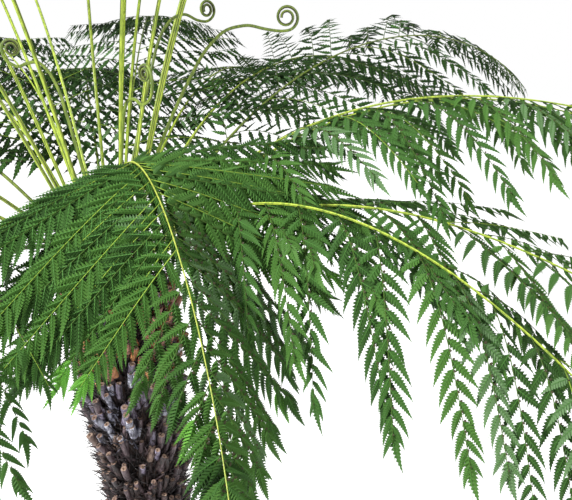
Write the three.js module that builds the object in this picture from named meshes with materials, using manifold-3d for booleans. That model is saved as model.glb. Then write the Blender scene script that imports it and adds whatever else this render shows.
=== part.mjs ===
// Tree fern: a fibrous trunk, arching fronds, upright young fronds and uncurling croziers.
// Millimetres, +Z up. The origin is the middle of the trunk's flat cut at ground level.
// A frond is grown in its own frame, +X outward from the growing point, and then turned to
// its compass angle. Angles are in degrees: an azimuth runs from +X towards +Y, and a lean
// or a hang is measured from straight up.

import * as THREE from 'three';
import { mergeVertices } from 'three/addons/utils/BufferGeometryUtils.js';
import Module from 'manifold-3d';

const wasm = await Module();
wasm.setup();

// Trunk
const GROWING_POINT = new THREE.Vector3(-110, 0, 2100);
const TRUNK_CURVE = 1.15;
const TRUNK_SIDES = 14;
const LOWER_CORE_RADIUS = 124;
const UPPER_CORE_RADIUS = 152;
const NARROW_HEIGHT = 850;
const WIDE_HEIGHT = 1550;
const ROOT_MANTLE_FLARE = 120;
const ROOT_MANTLE_HEIGHT = 210;
const ROOT_LOBES = 5;
const ROOT_LOBE_DEPTH = 0.09;
const ROOT_RING_HEIGHTS = [0, 90, 230];
const HEAD_RINGS = [[2035, 118], [2082, 62]];

// Old stipe stubs, which cover the trunk in oblique rows
const STUB_ROWS = 14;
const STUB_FOOT_HEIGHT = 390;
const STUB_TOP_HEIGHT = 1950;
const STUB_LENGTH = 78;
const STUB_CAP_WIDTH = 38;
const STUB_CAP_DEPTH = 30;
const STUB_RISE = 50;

// Stipe bases on the head of the trunk, which carry the fronds and the croziers
const COLLAR_SUNK = 90;
const COLLAR_PROUD = 52;
const COLLAR_MARGIN = 3;
const SEAT_GAP = 0.3;

// Ribs and leaflets of the fronds
const PATH_STEP = 10;
const BARE_STEP = 170;
const RIB_WIDTH = 17;
const RIB_DEPTH = 19;
const RIB_TAPER = 0.78;
const LEAFLET_STALK = 16;
const LEAFLET_WIDEST = 0.38;
const LEAFLET_FILL = 0.8;
const LEAFLET_THICKNESS = 6.5;
const LEAFLET_CURVE_STEPS = 12;
const PAIR_CROWDING = 1.25;
const SHORTENING = [1, 0.8, 0.6, 0.42];
const TIP_BLADE_LENGTH = 150;
const TIP_BLADE_WIDTH = 46;
const CLEARANCE = 0.6;

// What the two kinds of frond share. Each frond below adds its own angles and its length.
const ARCHING = {
  baseRadius: 80, baseHeight: -30, bend: 2, stipe: 640, pairs: 12, leaflet: 590, shrink: 0.76, narrowing: 1.7,
  lift: 0.1, roll: 0, sag: 0,
};
const UPRIGHT = {
  baseRadius: 57, baseHeight: -12, bend: 3, stipe: 1290, pairs: 8, leaflet: 360, shrink: 0.76, narrowing: 1.7,
  forward: 58, droop: 0.3, lift: 0.1, roll: 0, sag: 0,
};
const PAIRS_BEFORE_BEND = 4;

const ARCHING_FRONDS = [
  { azimuth: 298.8, lean: -1, hang: 126, reach: 600, sway: -6, length: 1840, droop: 0.16, forward: 74,
    baseRadius: 92, stipe: 600, leaflet: 800, shrink: 0.88, narrowing: 1, lift: -0.06, roll: 8.5, sag: 1.5 },
  {
    azimuth: 321.6, lean: 50, hang: 136, reach: 1170, sway: 1, length: 2300, droop: 0.62, forward: 44,
    leaflet: 670,
  },
  { azimuth: 345.7, lean: 41, hang: 118, reach: 1390, sway: 0, length: 2350, droop: 0.5, forward: 42 },
  { azimuth: 24.6, lean: 37, hang: 151, reach: 2030, sway: 5, length: 2430, droop: 0.45, forward: 52,
    lift: 0.2, roll: 25 },
  { azimuth: 333, lean: 56, hang: 122, reach: 1180, sway: 1, length: 2300, droop: 0.28, forward: 50 },
  { azimuth: 359.9, lean: 44, hang: 123, reach: 1480, sway: 1, length: 2350, droop: 0.45, forward: 50 },
  {
    azimuth: 89.5, lean: 30, hang: 118, reach: 1620, sway: 8, length: 2350, droop: 0.35, forward: 60,
    stipe: 480,
  },
  { azimuth: 45, lean: 29, hang: 126, reach: 1350, sway: -4, length: 2300, droop: 0.4, forward: 60 },
  { azimuth: 67, lean: 32, hang: 130, reach: 1350, sway: 5, length: 2300, droop: 0.32, forward: 62 },
  {
    azimuth: 110, lean: 37, hang: 124, reach: 1400, sway: -4, length: 2300, droop: 0.28, forward: 64,
    stipe: 480,
  },
  {
    azimuth: 131, lean: 29, hang: 126, reach: 1500, sway: 6, length: 2350, droop: 0.28, forward: 60,
    stipe: 480,
  },
  {
    azimuth: 151, lean: 28, hang: 118, reach: 1300, sway: -5, length: 2250, droop: 0.35, forward: 62,
    stipe: 480,
  },
  { azimuth: 173, lean: 38, hang: 124, reach: 1350, sway: 4, length: 2350, droop: 0.4, forward: 58 },
  { azimuth: 194, lean: 49, hang: 136, reach: 1150, sway: 3, length: 2250, droop: 0.5, forward: 62 },
  { azimuth: 214, lean: 37, hang: 130, reach: 1250, sway: -4, length: 2300, droop: 0.45, forward: 60 },
  {
    azimuth: 256, lean: 48, hang: 156, reach: 800, sway: 4, length: 2150, droop: 0.5, forward: 62,
    leaflet: 480,
  },
];

const UPRIGHT_FRONDS = [
  { azimuth: 42, lean: 16, hang: 98, reach: 2150, sway: 6, length: 2350 },
  { azimuth: 75, lean: 15, hang: 98, reach: 2250, sway: -6, length: 2350 },
  { azimuth: 92, lean: 29, hang: 108, reach: 2200, sway: 5, length: 2300 },
  { azimuth: 108, lean: 18, hang: 100, reach: 2150, sway: -6, length: 2300 },
  { azimuth: 124, lean: 28, hang: 108, reach: 2100, sway: 6, length: 2250 },
  { azimuth: 141, lean: 27, hang: 108, reach: 2250, sway: -6, length: 2350 },
  { azimuth: 158, lean: 14, hang: 98, reach: 2200, sway: 5, length: 2300 },
  { azimuth: 176, lean: 18, hang: 102, reach: 2150, sway: -6, length: 2350 },
  { azimuth: 207, lean: 22, hang: 104, reach: 2150, sway: 6, length: 2300 },
  { azimuth: 228, lean: 22, hang: 104, reach: 2250, sway: -7, length: 2350 },
  { azimuth: 246, lean: 15, hang: 98, reach: 2150, sway: 5, length: 2250 },
  { azimuth: 312, lean: 9, hang: 88, reach: 2200, sway: -6, length: 2300 },
  { azimuth: 330, lean: 13, hang: 94, reach: 2300, sway: 7, length: 2350 },
  { azimuth: 349, lean: 15, hang: 92, reach: 2200, sway: -6, length: 2400 },
];

// Croziers: the heading of the stalk along its length, and the coil that ends it
const CROZIER_BASE_HEIGHT = 0;
const CROZIER_WIDTH = 14;
const CROZIER_TAPER = 0.4;
const CROZIER_STALK_STEPS = 17;
const CROZIER_STEP_CROWDING = 1.7;
const COIL_TURNS = 1.8;
const COIL_STEPS_PER_TURN = 13;
const COIL_SHRINK = 0.085;
const CROZIERS = [
  { azimuth: 4, baseRadius: 26, coil: 44,
    headings: [[0, 20], [460, 24], [775, 30], [880, 45], [985, 81], [1040, 104], [1105, 97], [1145, 83]] },
  { azimuth: 40, baseRadius: 8, coil: 37,
    headings: [[0, 15], [765, 18], [825, 26], [905, 46], [955, 74], [1010, 116], [1060, 96], [1105, 51]] },
  { azimuth: 190, baseRadius: 26, coil: 32,
    headings: [[0, 7], [600, 11], [680, 24], [725, 42], [770, 100], [800, 116], [830, 60], [890, 6]] },
  { azimuth: 321, baseRadius: 26, coil: 31,
    headings: [[0, 10], [540, 12], [600, 30], [640, 84], [675, 122], [720, 62], [775, 12], [830, -14]] },
];

const RANDOM_SEED = 4207;

// Finishes
const materials = {
  fibre: new THREE.MeshStandardMaterial({ color: 0x3a2a22, roughness: 0.95, metalness: 0 }),
  leaf: new THREE.MeshStandardMaterial({
    color: 0x2f6a30, roughness: 0.6, metalness: 0, side: THREE.DoubleSide,
  }),
  youngLeaf: new THREE.MeshStandardMaterial({
    color: 0x5c9a3c, roughness: 0.6, metalness: 0, side: THREE.DoubleSide,
  }),
  crozier: new THREE.MeshStandardMaterial({ color: 0x9ab23e, roughness: 0.55, metalness: 0 }),
};

// Seeded random numbers, so that the trunk is the same each time
function seededRandom(seed) {
  let state = seed;
  return () => {
    state = (state + 0x6d2b79f5) | 0;
    let mixed = Math.imul(state ^ (state >>> 15), 1 | state);
    mixed = (mixed + Math.imul(mixed ^ (mixed >>> 7), 61 | mixed)) ^ mixed;
    return ((mixed ^ (mixed >>> 14)) >>> 0) / 4294967296;
  };
}

const radians = THREE.MathUtils.degToRad;
const up = new THREE.Vector3(0, 0, 1);

// A closed faceted solid that is put together from numbered points
class Facets {
  constructor() {
    this.points = [];
    this.triangles = [];
  }

  point(vector) {
    this.points.push(vector.x, vector.y, vector.z);
    return this.points.length / 3 - 1;
  }

  triangle(a, b, c) {
    this.triangles.push(a, b, c);
  }

  quad(a, b, c, d) {
    this.triangle(a, b, c);
    this.triangle(a, c, d);
  }

  // Walls between two loops that both run anticlockwise seen from the far one
  walls(near, far) {
    near.forEach((corner, i) => {
      const next = (i + 1) % near.length;
      this.quad(corner, near[next], far[next], far[i]);
    });
  }

  cone(loop, tip) {
    loop.forEach((corner, i) => this.triangle(corner, loop[(i + 1) % loop.length], tip));
  }

  geometry() {
    const geometry = new THREE.BufferGeometry();
    geometry.setAttribute('position', new THREE.Float32BufferAttribute(this.points, 3));
    geometry.setIndex(this.triangles);
    return geometry;
  }
}

function solidFrom(geometry) {
  const bare = new THREE.BufferGeometry();
  bare.setAttribute('position', geometry.getAttribute('position'));
  bare.setIndex(geometry.getIndex());
  const merged = mergeVertices(bare, 1e-4);
  return new wasm.Manifold(new wasm.Mesh({
    numProp: 3,
    vertProperties: new Float32Array(merged.getAttribute('position').array),
    triVerts: new Uint32Array(merged.getIndex().array),
  }));
}

function geometryFrom(solid) {
  const mesh = solid.getMesh();
  const geometry = new THREE.BufferGeometry();
  geometry.setAttribute('position', new THREE.BufferAttribute(mesh.vertProperties, 3));
  geometry.setIndex(new THREE.BufferAttribute(mesh.triVerts, 1));
  return geometry;
}

// Trunk: its axis and the radius of its core at a height
function trunkAxis(height) {
  const part = Math.max(0, height) / GROWING_POINT.z;
  return new THREE.Vector3(GROWING_POINT.x * part ** TRUNK_CURVE, GROWING_POINT.y * part, height);
}

function coreRadius(height) {
  const widening = THREE.MathUtils.smoothstep(height, NARROW_HEIGHT, WIDE_HEIGHT);
  const taper = THREE.MathUtils.lerp(LOWER_CORE_RADIUS, UPPER_CORE_RADIUS, widening);
  return taper + ROOT_MANTLE_FLARE * Math.exp(-height / ROOT_MANTLE_HEIGHT);
}

// Trunk: a ring of points, each ring turned half a cell past the one below
function trunkRing(facets, row, height, radiusAt) {
  const ring = [];
  for (let i = 0; i < TRUNK_SIDES; i += 1) {
    const angle = ((i + row / 2) / TRUNK_SIDES) * 2 * Math.PI;
    const outward = new THREE.Vector3(Math.cos(angle), Math.sin(angle), 0);
    ring.push(facets.point(trunkAxis(height).addScaledVector(outward, radiusAt(angle))));
  }
  return ring;
}

// Trunk: one stub, which grows outward and up from its cell between two rings
function stub(facets, cell, middle, random) {
  const axis = trunkAxis(middle.z);
  const outward = middle.clone().sub(axis).setZ(0).normalize();
  const across = new THREE.Vector3().crossVectors(up, outward);
  const rise = radians(STUB_RISE + (random() - 0.5) * 16);
  const along = outward.clone().multiplyScalar(Math.cos(rise)).addScaledVector(up, Math.sin(rise));
  along.addScaledVector(across, (random() - 0.5) * 0.25).normalize();
  const capUp = new THREE.Vector3().crossVectors(along, across).normalize();
  const length = STUB_LENGTH * (0.82 + 0.36 * random());
  const centre = middle.clone().addScaledVector(along, length);
  const corners = [[-1, -1], [1, -1], [1, 1], [-1, 1]];
  const cap = corners.map(([sideways, upwards]) => facets.point(centre.clone()
    .addScaledVector(across, (sideways * STUB_CAP_WIDTH) / 2)
    .addScaledVector(capUp, (upwards * STUB_CAP_DEPTH) / 2)));
  facets.walls(cell, cap);
  facets.quad(...cap);
}

function trunkBody() {
  const random = seededRandom(RANDOM_SEED);
  const facets = new Facets();
  const rings = [];
  const lobed = (height) => (angle) => {
    const depth = ROOT_LOBE_DEPTH * Math.exp(-height / ROOT_MANTLE_HEIGHT);
    return coreRadius(height) * (1 + depth * Math.cos(ROOT_LOBES * angle));
  };
  ROOT_RING_HEIGHTS.forEach((height) => rings.push(trunkRing(facets, rings.length, height, lobed(height))));
  const firstStubRow = rings.length;
  for (let row = 0; row <= STUB_ROWS; row += 1) {
    const height = THREE.MathUtils.lerp(STUB_FOOT_HEIGHT, STUB_TOP_HEIGHT, row / STUB_ROWS);
    rings.push(trunkRing(facets, rings.length, height, () => coreRadius(height)));
  }
  const lastStubRow = rings.length - 1;
  HEAD_RINGS.forEach(([height, radius]) => rings.push(trunkRing(facets, rings.length, height, () => radius)));

  const position = (index) => new THREE.Vector3().fromArray(facets.points, index * 3);
  for (let row = 0; row + 1 < rings.length; row += 1) {
    const stubby = row >= firstStubRow && row < lastStubRow;
    for (let i = 0; i < TRUNK_SIDES; i += 1) {
      const next = (i + 1) % TRUNK_SIDES;
      const cell = [rings[row][i], rings[row][next], rings[row + 1][next], rings[row + 1][i]];
      if (stubby) {
        const middle = new THREE.Vector3();
        cell.forEach((corner) => middle.addScaledVector(position(corner), 1 / cell.length));
        stub(facets, cell, middle, random);
      } else {
        facets.quad(...cell);
      }
    }
  }
  const foot = facets.point(trunkAxis(0));
  facets.cone([...rings[0]].reverse(), foot);
  facets.cone(rings.at(-1), facets.point(GROWING_POINT));
  return solidFrom(facets.geometry());
}

// Path of a stipe, from its heading along the way. It keeps its place and its tangent.
class StipePath {
  constructor(frond, headingAt, length) {
    this.length = length;
    this.sway = radians(frond.sway ?? 0);
    this.roll = radians(frond.roll ?? 0);
    this.headingAt = headingAt;
    this.base = [frond.baseRadius, frond.baseHeight];
    this.places = [this.base];
    for (let s = 0; s < length; s += PATH_STEP) {
      const heading = radians(headingAt(s + PATH_STEP / 2));
      const [radius, height] = this.places.at(-1);
      this.places.push([radius + Math.sin(heading) * PATH_STEP, height + Math.cos(heading) * PATH_STEP]);
    }
  }

  at(s) {
    const heading = radians(this.headingAt(0));
    if (s <= 0) {
      return new THREE.Vector3(this.base[0] + Math.sin(heading) * s, 0, this.base[1] + Math.cos(heading) * s);
    }
    const step = Math.min(Math.floor(s / PATH_STEP), this.places.length - 2);
    const part = s / PATH_STEP - step;
    const radius = THREE.MathUtils.lerp(this.places[step][0], this.places[step + 1][0], part);
    const height = THREE.MathUtils.lerp(this.places[step][1], this.places[step + 1][1], part);
    const angle = this.sway * (s / this.length) ** 2;
    return new THREE.Vector3(radius * Math.cos(angle), radius * Math.sin(angle), height);
  }

  frame(s) {
    const along = this.at(s + 1).sub(this.at(s - 1)).normalize();
    const angle = s > 0 ? this.sway * (s / this.length) ** 2 : 0;
    const level = new THREE.Vector3(-Math.sin(angle), Math.cos(angle), 0);
    const over = new THREE.Vector3().crossVectors(along, level).normalize();
    const side = new THREE.Vector3().crossVectors(over, along);
    side.applyAxisAngle(along, this.roll);
    over.applyAxisAngle(along, this.roll);
    return { place: this.at(s), along, side, over };
  }
}

function frondPath(frond) {
  const headingAt = (s) => {
    const bent = 1 - Math.exp(-((Math.max(0, s) / frond.reach) ** frond.bend));
    return frond.lean + (frond.hang - frond.lean) * bent;
  };
  return new StipePath(frond, headingAt, frond.length);
}

function crozierPath(crozier) {
  const knots = crozier.headings;
  const stalkLength = knots.at(-1)[0];
  const turn = 2 * Math.PI * COIL_TURNS;
  const coilLength = (crozier.coil * (1 - Math.exp(-COIL_SHRINK * turn))) / COIL_SHRINK;
  const headingAt = (s) => {
    if (s >= stalkLength) {
      const left = 1 - Math.min(coilLength, s - stalkLength) * (COIL_SHRINK / crozier.coil);
      return knots.at(-1)[1] + THREE.MathUtils.radToDeg(Math.log(left) / COIL_SHRINK);
    }
    const after = Math.max(1, knots.findIndex(([place]) => place > s));
    const [[from, headingFrom], [to, headingTo]] = [knots[after - 1], knots[after]];
    return THREE.MathUtils.lerp(headingFrom, headingTo, THREE.MathUtils.smoothstep(s, from, to));
  };
  const path = new StipePath(
    { ...crozier, baseHeight: CROZIER_BASE_HEIGHT }, headingAt, stalkLength + coilLength,
  );
  path.stalkLength = stalkLength;
  path.coilDistance = (turned) => (crozier.coil * (1 - Math.exp(-COIL_SHRINK * turned))) / COIL_SHRINK;
  return path;
}

// Four-sided ring round a rib: left top, right top, right bottom, left bottom
function ribRing(facets, frame, width, depth) {
  const corners = [[1, 1], [-1, 1], [-1, -1], [1, -1]];
  return corners.map(([sideways, upwards]) => facets.point(frame.place.clone()
    .addScaledVector(frame.side, (sideways * width) / 2)
    .addScaledVector(frame.over, (upwards * depth) / 2)));
}

function ribSize(frond, s) {
  const left = 1 - RIB_TAPER * THREE.MathUtils.clamp(s / frond.length, 0, 1);
  return [RIB_WIDTH * left, RIB_DEPTH * left];
}

// Where the pairs of leaflets stand along a frond, and how long and wide each pair is
function leafletPairs(frond) {
  const span = frond.length - TIP_BLADE_LENGTH - frond.stipe;
  const placeOf = (k) => frond.stipe + span * (1 - (1 - k / frond.pairs) ** PAIR_CROWDING);
  return Array.from({ length: frond.pairs }, (_, k) => {
    const part = k / (frond.pairs - 1);
    const swelling = 0.8 + 0.2 * Math.min(1, part / 0.2);
    return {
      part,
      place: placeOf(k),
      length: frond.leaflet * swelling * (1 - frond.shrink * part ** frond.narrowing),
      width: (placeOf(k + 1) - placeOf(k)) * LEAFLET_FILL,
      stalk: LEAFLET_STALK * (1 - 0.5 * part),
    };
  });
}

// The curve of one leaflet: it leaves the rib forward of square and droops to its own tip.
// Where a frond sags, its leaflets point further down the nearer they stand to the frond's tip.
function leafletCurve(frond, frame, hand, start, pair, factor) {
  const forward = radians(frond.forward);
  const first = frame.side.clone().multiplyScalar(hand * Math.sin(forward));
  first.addScaledVector(frame.along, Math.cos(forward)).addScaledVector(frame.over, frond.lift).normalize();
  first.addScaledVector(up, -frond.sag * pair.part).normalize();
  const length = pair.length * factor;
  const places = [start.clone()];
  const directions = [first];
  for (let step = 1; step <= LEAFLET_CURVE_STEPS; step += 1) {
    const weight = frond.droop * (1 - Math.exp((-3 * step) / LEAFLET_CURVE_STEPS));
    const direction = first.clone().multiplyScalar(1 - weight).addScaledVector(up, -weight).normalize();
    places.push(places.at(-1).clone().addScaledVector(direction, length / LEAFLET_CURVE_STEPS));
    directions.push(direction);
  }
  return { places, directions };
}

// The four corners of a leaflet's section, in the order of the rib face that it grows from
function sectionCorners(hand) {
  return [[-1, -hand], [-1, hand], [1, hand], [1, -hand]];
}

// The blade of one leaflet: the four corners at its widest place, and its tip
function leafletBlade(frond, seat, hand, pair, factor, margin) {
  const curve = leafletCurve(frond, seat.frame, hand, seat.start, pair, factor);
  const widest = Math.round(LEAFLET_CURVE_STEPS * LEAFLET_WIDEST);
  const direction = curve.directions[widest];
  const { along } = seat.frame;
  const across = along.clone().addScaledVector(direction, -along.dot(direction)).normalize();
  const normal = new THREE.Vector3().crossVectors(across, direction).multiplyScalar(hand);
  const corners = sectionCorners(hand).map(([forwards, upwards]) => curve.places[widest].clone()
    .addScaledVector(across, forwards * (pair.width / 2 + margin))
    .addScaledVector(normal, upwards * (LEAFLET_THICKNESS / 2 + margin)));
  return { corners, tip: curve.places.at(-1).addScaledVector(direction, margin) };
}

// The place on the side of the rib that one leaflet grows from
function leafletSeat(frond, path, pair, hand) {
  const frame = path.frame(pair.place);
  const [width] = ribSize(frond, pair.place);
  return { frame, start: frame.place.clone().addScaledVector(frame.side, (hand * width) / 2) };
}

// The room that one leaflet takes, a little larger than the leaflet itself
function leafletRoom(frond, path, pair, hand, factor, matrix) {
  const seat = leafletSeat(frond, path, pair, hand);
  const [, depth] = ribSize(frond, pair.place);
  const facets = new Facets();
  const root = sectionCorners(hand).map(([forwards, upwards]) => facets.point(seat.start.clone()
    .addScaledVector(seat.frame.side, hand * 2 * CLEARANCE)
    .addScaledVector(seat.frame.along, (forwards * pair.stalk) / 2)
    .addScaledVector(seat.frame.over, (upwards * depth) / 2)));
  const blade = leafletBlade(frond, seat, hand, pair, factor, CLEARANCE);
  const corners = blade.corners.map((corner) => facets.point(corner));
  facets.quad(...[...root].reverse());
  facets.walls(root, corners);
  facets.cone(corners, facets.point(blade.tip));
  return solidFrom(facets.geometry().applyMatrix4(matrix));
}

// What has been grown so far, with its box, so that the next leaflet can keep clear of it
class Grown {
  constructor() {
    this.pieces = [];
  }

  add(solid) {
    const { min, max } = solid.boundingBox();
    this.pieces.push({ solid, min, max });
  }

  touches(solid) {
    const { min, max } = solid.boundingBox();
    return this.pieces.some((piece) => (
      [0, 1, 2].every((i) => piece.min[i] <= max[i] && piece.max[i] >= min[i])
      && !piece.solid.intersect(solid).isEmpty()
    ));
  }
}

// One length of a frond: its rib from one place to another, with the leaflets that it carries
function frondLength(frond, path, { from, to, pairs }) {
  const facets = new Facets();
  const ringAt = (s) => ribRing(facets, path.frame(s), ...ribSize(frond, s));
  let last = ringAt(from);
  facets.quad(...[...last].reverse());
  const stretch = (s) => {
    const ring = ringAt(s);
    facets.walls(last, ring);
    last = ring;
  };
  const bareTo = pairs[0].place;
  const bareSteps = Math.max(1, Math.round((bareTo - from) / BARE_STEP));
  for (let step = 1; step < bareSteps; step += 1) {
    stretch(THREE.MathUtils.lerp(from, bareTo, step / bareSteps));
  }
  pairs.forEach((pair) => {
    stretch(pair.place - pair.stalk / 2);
    const near = last;
    const far = ringAt(pair.place + pair.stalk / 2);
    const faces = near.map((corner, i) => [corner, near[(i + 1) % 4], far[(i + 1) % 4], far[i]]);
    const growing = { 1: -1, 3: 1 };
    faces.forEach((face, i) => {
      const hand = growing[i];
      const factor = pair.factors?.get(hand);
      if (!factor) {
        facets.quad(...face);
        return;
      }
      const blade = leafletBlade(frond, leafletSeat(frond, path, pair, hand), hand, pair, factor, 0);
      const corners = blade.corners.map((corner) => facets.point(corner));
      facets.walls(face, corners);
      facets.cone(corners, facets.point(blade.tip));
    });
    last = far;
  });
  if (to < frond.length) {
    stretch(to);
    facets.quad(...last);
  } else {
    stretch(frond.length - TIP_BLADE_LENGTH);
    const widest = path.frame(frond.length - TIP_BLADE_LENGTH * (1 - LEAFLET_WIDEST));
    const ring = ribRing(facets, widest, TIP_BLADE_WIDTH, LEAFLET_THICKNESS);
    facets.walls(last, ring);
    facets.cone(ring, facets.point(path.at(frond.length)));
  }
  return facets.geometry();
}

// The lengths that a frond is made in: an arching one is parted where it bends over
function frondLengths(frond) {
  const pairs = leafletPairs(frond);
  const from = COLLAR_PROUD + SEAT_GAP;
  if (!frond.parted) {
    return [{ ending: '', from, to: frond.length, pairs }];
  }
  const parting = (pairs[PAIRS_BEFORE_BEND - 1].place + pairs[PAIRS_BEFORE_BEND].place) / 2;
  return [
    { ending: '_inner', from, to: parting, pairs: pairs.slice(0, PAIRS_BEFORE_BEND) },
    { ending: '_outer', from: parting + SEAT_GAP, to: frond.length, pairs: pairs.slice(PAIRS_BEFORE_BEND) },
  ];
}

// Crozier: a stalk that rises, waves once and ends in a coil
function crozierWidth(path, s) {
  return CROZIER_WIDTH * (1 - CROZIER_TAPER * (s / path.length) ** 2);
}

function crozierSolid(path) {
  const facets = new Facets();
  const ringAt = (s) => ribRing(facets, path.frame(s), crozierWidth(path, s), crozierWidth(path, s));
  const from = COLLAR_PROUD + SEAT_GAP;
  const stops = [];
  for (let step = 1; step <= CROZIER_STALK_STEPS; step += 1) {
    const part = 1 - (1 - step / CROZIER_STALK_STEPS) ** CROZIER_STEP_CROWDING;
    stops.push(THREE.MathUtils.lerp(from, path.stalkLength, part));
  }
  const coilSteps = Math.round(COIL_TURNS * COIL_STEPS_PER_TURN);
  for (let step = 1; step <= coilSteps; step += 1) {
    const turned = (step / coilSteps) * 2 * Math.PI * COIL_TURNS;
    stops.push(path.stalkLength + path.coilDistance(turned));
  }
  let last = ringAt(from);
  facets.quad(...[...last].reverse());
  stops.forEach((s) => {
    const ring = ringAt(s);
    facets.walls(last, ring);
    last = ring;
  });
  facets.quad(...last);
  return facets.geometry();
}

// The short stipe base that stands on the head of the trunk under a frond or a crozier
function collar(path, width, depth, matrix) {
  const facets = new Facets();
  const ringAt = (s) => ribRing(facets, path.frame(s), width + COLLAR_MARGIN, depth + COLLAR_MARGIN);
  const foot = ringAt(-COLLAR_SUNK);
  const top = ringAt(COLLAR_PROUD);
  facets.quad(...[...foot].reverse());
  facets.walls(foot, top);
  facets.quad(...top);
  return solidFrom(facets.geometry().applyMatrix4(matrix));
}

function placing(azimuth) {
  return new THREE.Matrix4().makeRotationZ(radians(azimuth)).setPosition(GROWING_POINT);
}

function placedMesh(name, geometry, material, azimuth) {
  geometry.computeVertexNormals();
  const mesh = new THREE.Mesh(geometry, material);
  mesh.name = name;
  mesh.position.copy(GROWING_POINT);
  mesh.rotation.z = radians(azimuth);
  return mesh;
}

const twoDigits = (number) => String(number).padStart(2, '0');
const fronds = [
  ...ARCHING_FRONDS.map((frond, i) => ({
    ...ARCHING, ...frond, parted: true, name: `arching_frond_${twoDigits(i + 1)}`,
  })),
  ...UPRIGHT_FRONDS.map((frond, i) => ({ ...UPRIGHT, ...frond, name: `upright_frond_${twoDigits(i + 1)}` })),
].map((frond) => ({
  ...frond, path: frondPath(frond), matrix: placing(frond.azimuth), lengths: frondLengths(frond),
}));
const croziers = CROZIERS.map((crozier, i) => (
  { ...crozier, name: `crozier_${i + 1}`, path: crozierPath(crozier), matrix: placing(crozier.azimuth) }));

const plant = new THREE.Group();
plant.name = 'tree_fern';

// Trunk with the stipe bases joined to its head
const collars = [
  ...fronds.map((frond) => collar(frond.path, RIB_WIDTH, RIB_DEPTH, frond.matrix)),
  ...croziers.map((crozier) => collar(crozier.path, CROZIER_WIDTH, CROZIER_WIDTH, crozier.matrix)),
];
const trunkSolid = collars.reduce((solid, base) => solid.add(base), trunkBody());
const trunk = new THREE.Mesh(geometryFrom(trunkSolid), materials.fibre);
trunk.geometry.computeVertexNormals();
trunk.name = 'trunk';
plant.add(trunk);

// Every rib stands before the first leaflet grows
const grown = new Grown();
grown.add(trunkSolid);
croziers.forEach((crozier) => {
  const geometry = crozierSolid(crozier.path);
  grown.add(solidFrom(geometry.clone().applyMatrix4(crozier.matrix)));
  plant.add(placedMesh(crozier.name, geometry, materials.crozier, crozier.azimuth));
});
fronds.forEach((frond) => frond.lengths.forEach((length) => {
  grown.add(solidFrom(frondLength(frond, frond.path, length).applyMatrix4(frond.matrix)));
}));

// A leaflet that would touch something is grown shorter, and left out if that doesn't help
fronds.forEach((frond) => frond.lengths.forEach((length) => length.pairs.forEach((pair) => {
  pair.factors = new Map();
  [1, -1].forEach((hand) => {
    const roomAt = (factor) => leafletRoom(frond, frond.path, pair, hand, factor, frond.matrix);
    const factor = SHORTENING.find((candidate) => !grown.touches(roomAt(candidate)));
    if (factor) {
      pair.factors.set(hand, factor);
      grown.add(roomAt(factor));
    }
  });
})));

fronds.forEach((frond) => {
  const finish = frond.parted ? materials.leaf : materials.youngLeaf;
  const group = new THREE.Group();
  group.name = frond.name;
  frond.lengths.forEach((length) => {
    const geometry = frondLength(frond, frond.path, length);
    group.add(placedMesh(frond.name + length.ending, geometry, finish, frond.azimuth));
  });
  plant.add(group);
});

export default plant;
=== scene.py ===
# %% [markdown]
# # A tree fern, dressed in Blender
# A fibrous trunk, packed with the stubs of old fronds, carries arching fronds, young upright ones
# and uncurling croziers. The frame gives each frond as a plain toothed blade. Here it is grown
# again, by the same rule, into a rib, sprays and toothed leaflets. All sizes are in metres.

# %% Load the frame
import math

import bpy
import numpy as np
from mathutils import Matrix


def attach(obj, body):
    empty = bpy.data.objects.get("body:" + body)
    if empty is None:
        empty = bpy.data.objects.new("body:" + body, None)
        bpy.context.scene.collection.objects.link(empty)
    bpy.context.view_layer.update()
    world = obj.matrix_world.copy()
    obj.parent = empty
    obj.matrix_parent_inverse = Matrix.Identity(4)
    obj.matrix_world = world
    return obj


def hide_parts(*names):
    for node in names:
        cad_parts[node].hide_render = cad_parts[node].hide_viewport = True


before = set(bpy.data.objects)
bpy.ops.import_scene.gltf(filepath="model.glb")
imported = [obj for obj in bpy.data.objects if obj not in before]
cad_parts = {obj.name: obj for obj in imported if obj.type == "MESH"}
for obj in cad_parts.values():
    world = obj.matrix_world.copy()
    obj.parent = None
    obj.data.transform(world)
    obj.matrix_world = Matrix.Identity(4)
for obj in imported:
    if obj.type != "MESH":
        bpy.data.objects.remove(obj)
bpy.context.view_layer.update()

print("nodes in the frame:", len(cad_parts))

# %% [markdown]
# ## Camera, floor and light
# The photo looks at the crown from a little above, from just over two metres in front of it. Its
# backdrop is plain white, so the floor and the sky are nearly white and the light is soft. One key
# light from the upper left gives the stipes and stubs a lit side.

# %% Camera
GROWING_POINT = np.array([-0.110, 0.0, 2.100])
PHOTO_WIDTH_PIXELS = 572
FOCAL_PIXELS = 634
SENSOR_WIDTH_MM = 36
CAMERA_FROM_GROWING_POINT = np.array([0.6495, -2.250, 0.7784])
CAMERA_PITCH_DEGREES = 18


def linked(name, data):
    thing = bpy.data.objects.new(name, data)
    bpy.context.scene.collection.objects.link(thing)
    return thing


camera_data = bpy.data.cameras.new("camera")
camera_data.sensor_width = SENSOR_WIDTH_MM
camera_data.lens = FOCAL_PIXELS / PHOTO_WIDTH_PIXELS * SENSOR_WIDTH_MM
camera = linked("camera", camera_data)
camera.location = GROWING_POINT + CAMERA_FROM_GROWING_POINT
camera.rotation_euler = (math.radians(90 - CAMERA_PITCH_DEGREES), 0, 0)
bpy.context.scene.camera = camera
print("camera at", [round(x, 3) for x in camera.location])

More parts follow.
